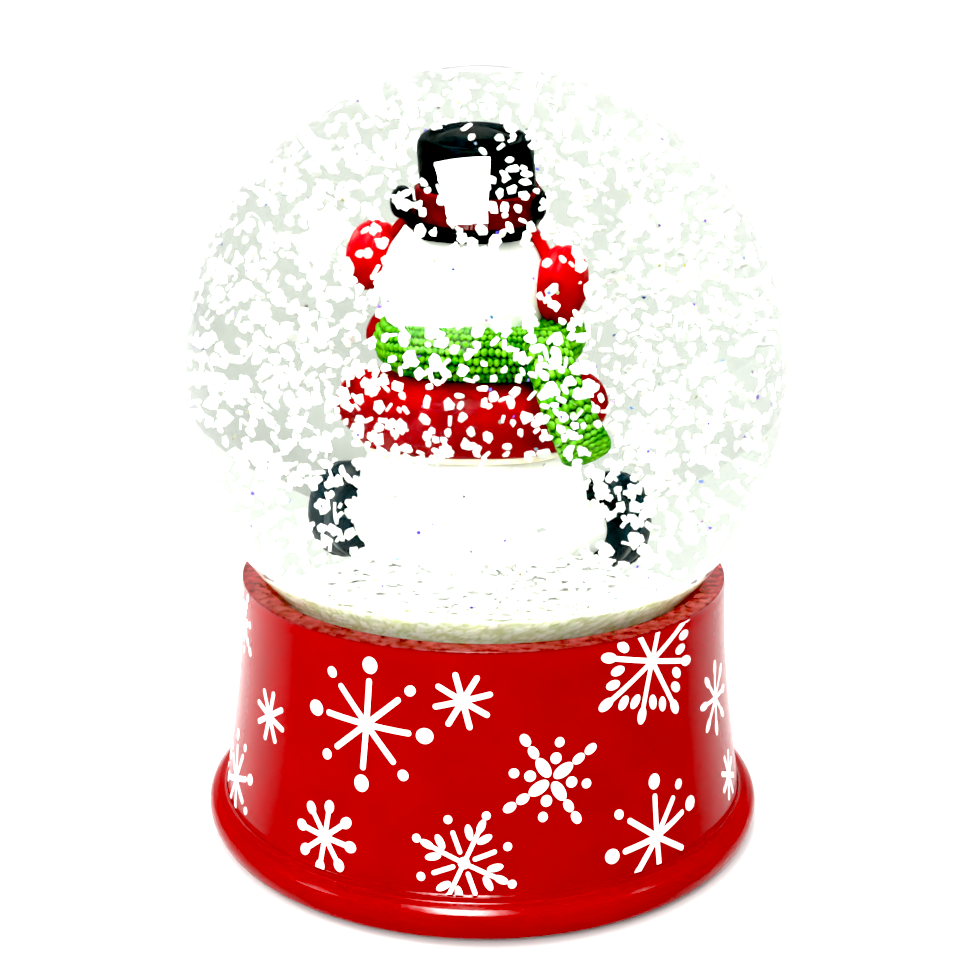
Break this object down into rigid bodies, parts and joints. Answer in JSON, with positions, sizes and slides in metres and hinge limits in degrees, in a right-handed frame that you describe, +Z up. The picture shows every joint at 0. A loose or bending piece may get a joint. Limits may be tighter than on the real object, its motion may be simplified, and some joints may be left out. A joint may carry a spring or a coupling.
{
  "type": "snow globe",
  "caption": "Musical snow globe: a water-filled glass ball with a snowman in a top hat, on a flared red lacquered base with a wind-up movement inside and a key underneath.",
  "frame": {"origin": "centre of the plane the four feet stand on", "axes": "+Z up through the ball; -Y is the side the snowman turns its back to; +X is to the right seen from -Y"},
  "size_m": [0.0996, 0.0996, 0.1277],
  "materials": {
    "clear_glass": "clear blown glass, slightly thick wall",
    "water": "clear liquid, faintly green",
    "red_lacquer": "deep red gloss lacquer on cast resin, with white printed snowflakes",
    "white_paint": "satin white paint on cast resin",
    "red_paint": "satin red paint on cast resin",
    "dark_red_paint": "satin dark red paint on cast resin",
    "black_paint": "semi-gloss black paint on cast resin",
    "green_paint": "green paint on cast resin, knitted relief",
    "orange_paint": "satin orange paint on cast resin",
    "rubber": "matt black rubber",
    "adhesive": "translucent amber epoxy",
    "black_plastic": "matt black moulded plastic",
    "cast_zinc": "as-cast grey zinc",
    "steel": "plated steel",
    "brass": "turned brass"
  },
  "bodies": {
    "root": {"glass_globe": "clear_glass", "water": "water", "rubber_stopper": "rubber", "globe_adhesive": "adhesive", "snow_mound": "white_paint", "lower_body": "white_paint", "coat": "red_paint", "scarf_wrap": "green_paint", "scarf_tail": "green_paint", "head": "white_paint", "earmuff_left": "red_paint", "earmuff_right": "red_paint", "earmuff_band": "red_paint", "nose": "orange_paint", "eye_left": "black_paint", "eye_right": "black_paint", "top_hat": "black_paint", "hat_band": "dark_red_paint", "sleeve_left": "red_paint", "sleeve_right": "red_paint", "mitten_left": "black_paint", "mitten_right": "black_paint", "leg_left": "white_paint", "leg_right": "white_paint", "boot_left": "black_paint", "boot_right": "black_paint", "base_shell": "red_lacquer", "base_plate": "black_plastic", "bedplate": "cast_zinc", "spring_barrel": "brass", "mainspring": "steel", "comb": "steel", "governor_bridge": "cast_zinc", "base_screw_1": "steel", "foot_1": "rubber", "base_screw_2": "steel", "foot_2": "rubber", "base_screw_3": "steel", "foot_3": "rubber", "base_screw_4": "steel", "foot_4": "rubber", "barrel_screw_1": "steel", "movement_screw_1": "steel", "barrel_screw_2": "steel", "movement_screw_2": "steel", "barrel_screw_3": "steel", "movement_screw_3": "steel", "comb_screw_1": "steel", "comb_screw_2": "steel"},
    "winding_key": {"winding_key": "steel", "winding_arbor": "steel", "crown_wheel": "brass"},
    "music_drum": {"music_drum": "brass"},
    "idler_wheel": {"idler_wheel": "brass"},
    "governor_fly": {"governor_fly": "black_plastic"}
  },
  "joints": [
    {"name": "key_turn", "type": "hinge", "parent": "root", "child": "winding_key", "pos_m": [-0.012, 0, 0.005], "axis": [0, 0, 1], "continuous": true},
    {"name": "drum_turn", "type": "hinge", "parent": "root", "child": "music_drum", "pos_m": [0.012, 0, 0.01787], "axis": [1, 0, 0], "continuous": true},
    {"name": "idler_turn", "type": "hinge", "parent": "root", "child": "idler_wheel", "pos_m": [0.026, 0.00679, 0.01547], "axis": [1, 0, 0], "continuous": true},
    {"name": "fly_turn", "type": "hinge", "parent": "root", "child": "governor_fly", "pos_m": [0.0265, 0.01199, 0.01547], "axis": [0, 0, 1], "continuous": true}
  ],
  "couplings": [
    {"joint": "drum_turn", "follows": "key_turn", "ratio": 3},
    {"joint": "idler_turn", "follows": "key_turn", "ratio": -6},
    {"joint": "fly_turn", "follows": "key_turn", "ratio": 60}
  ]
}
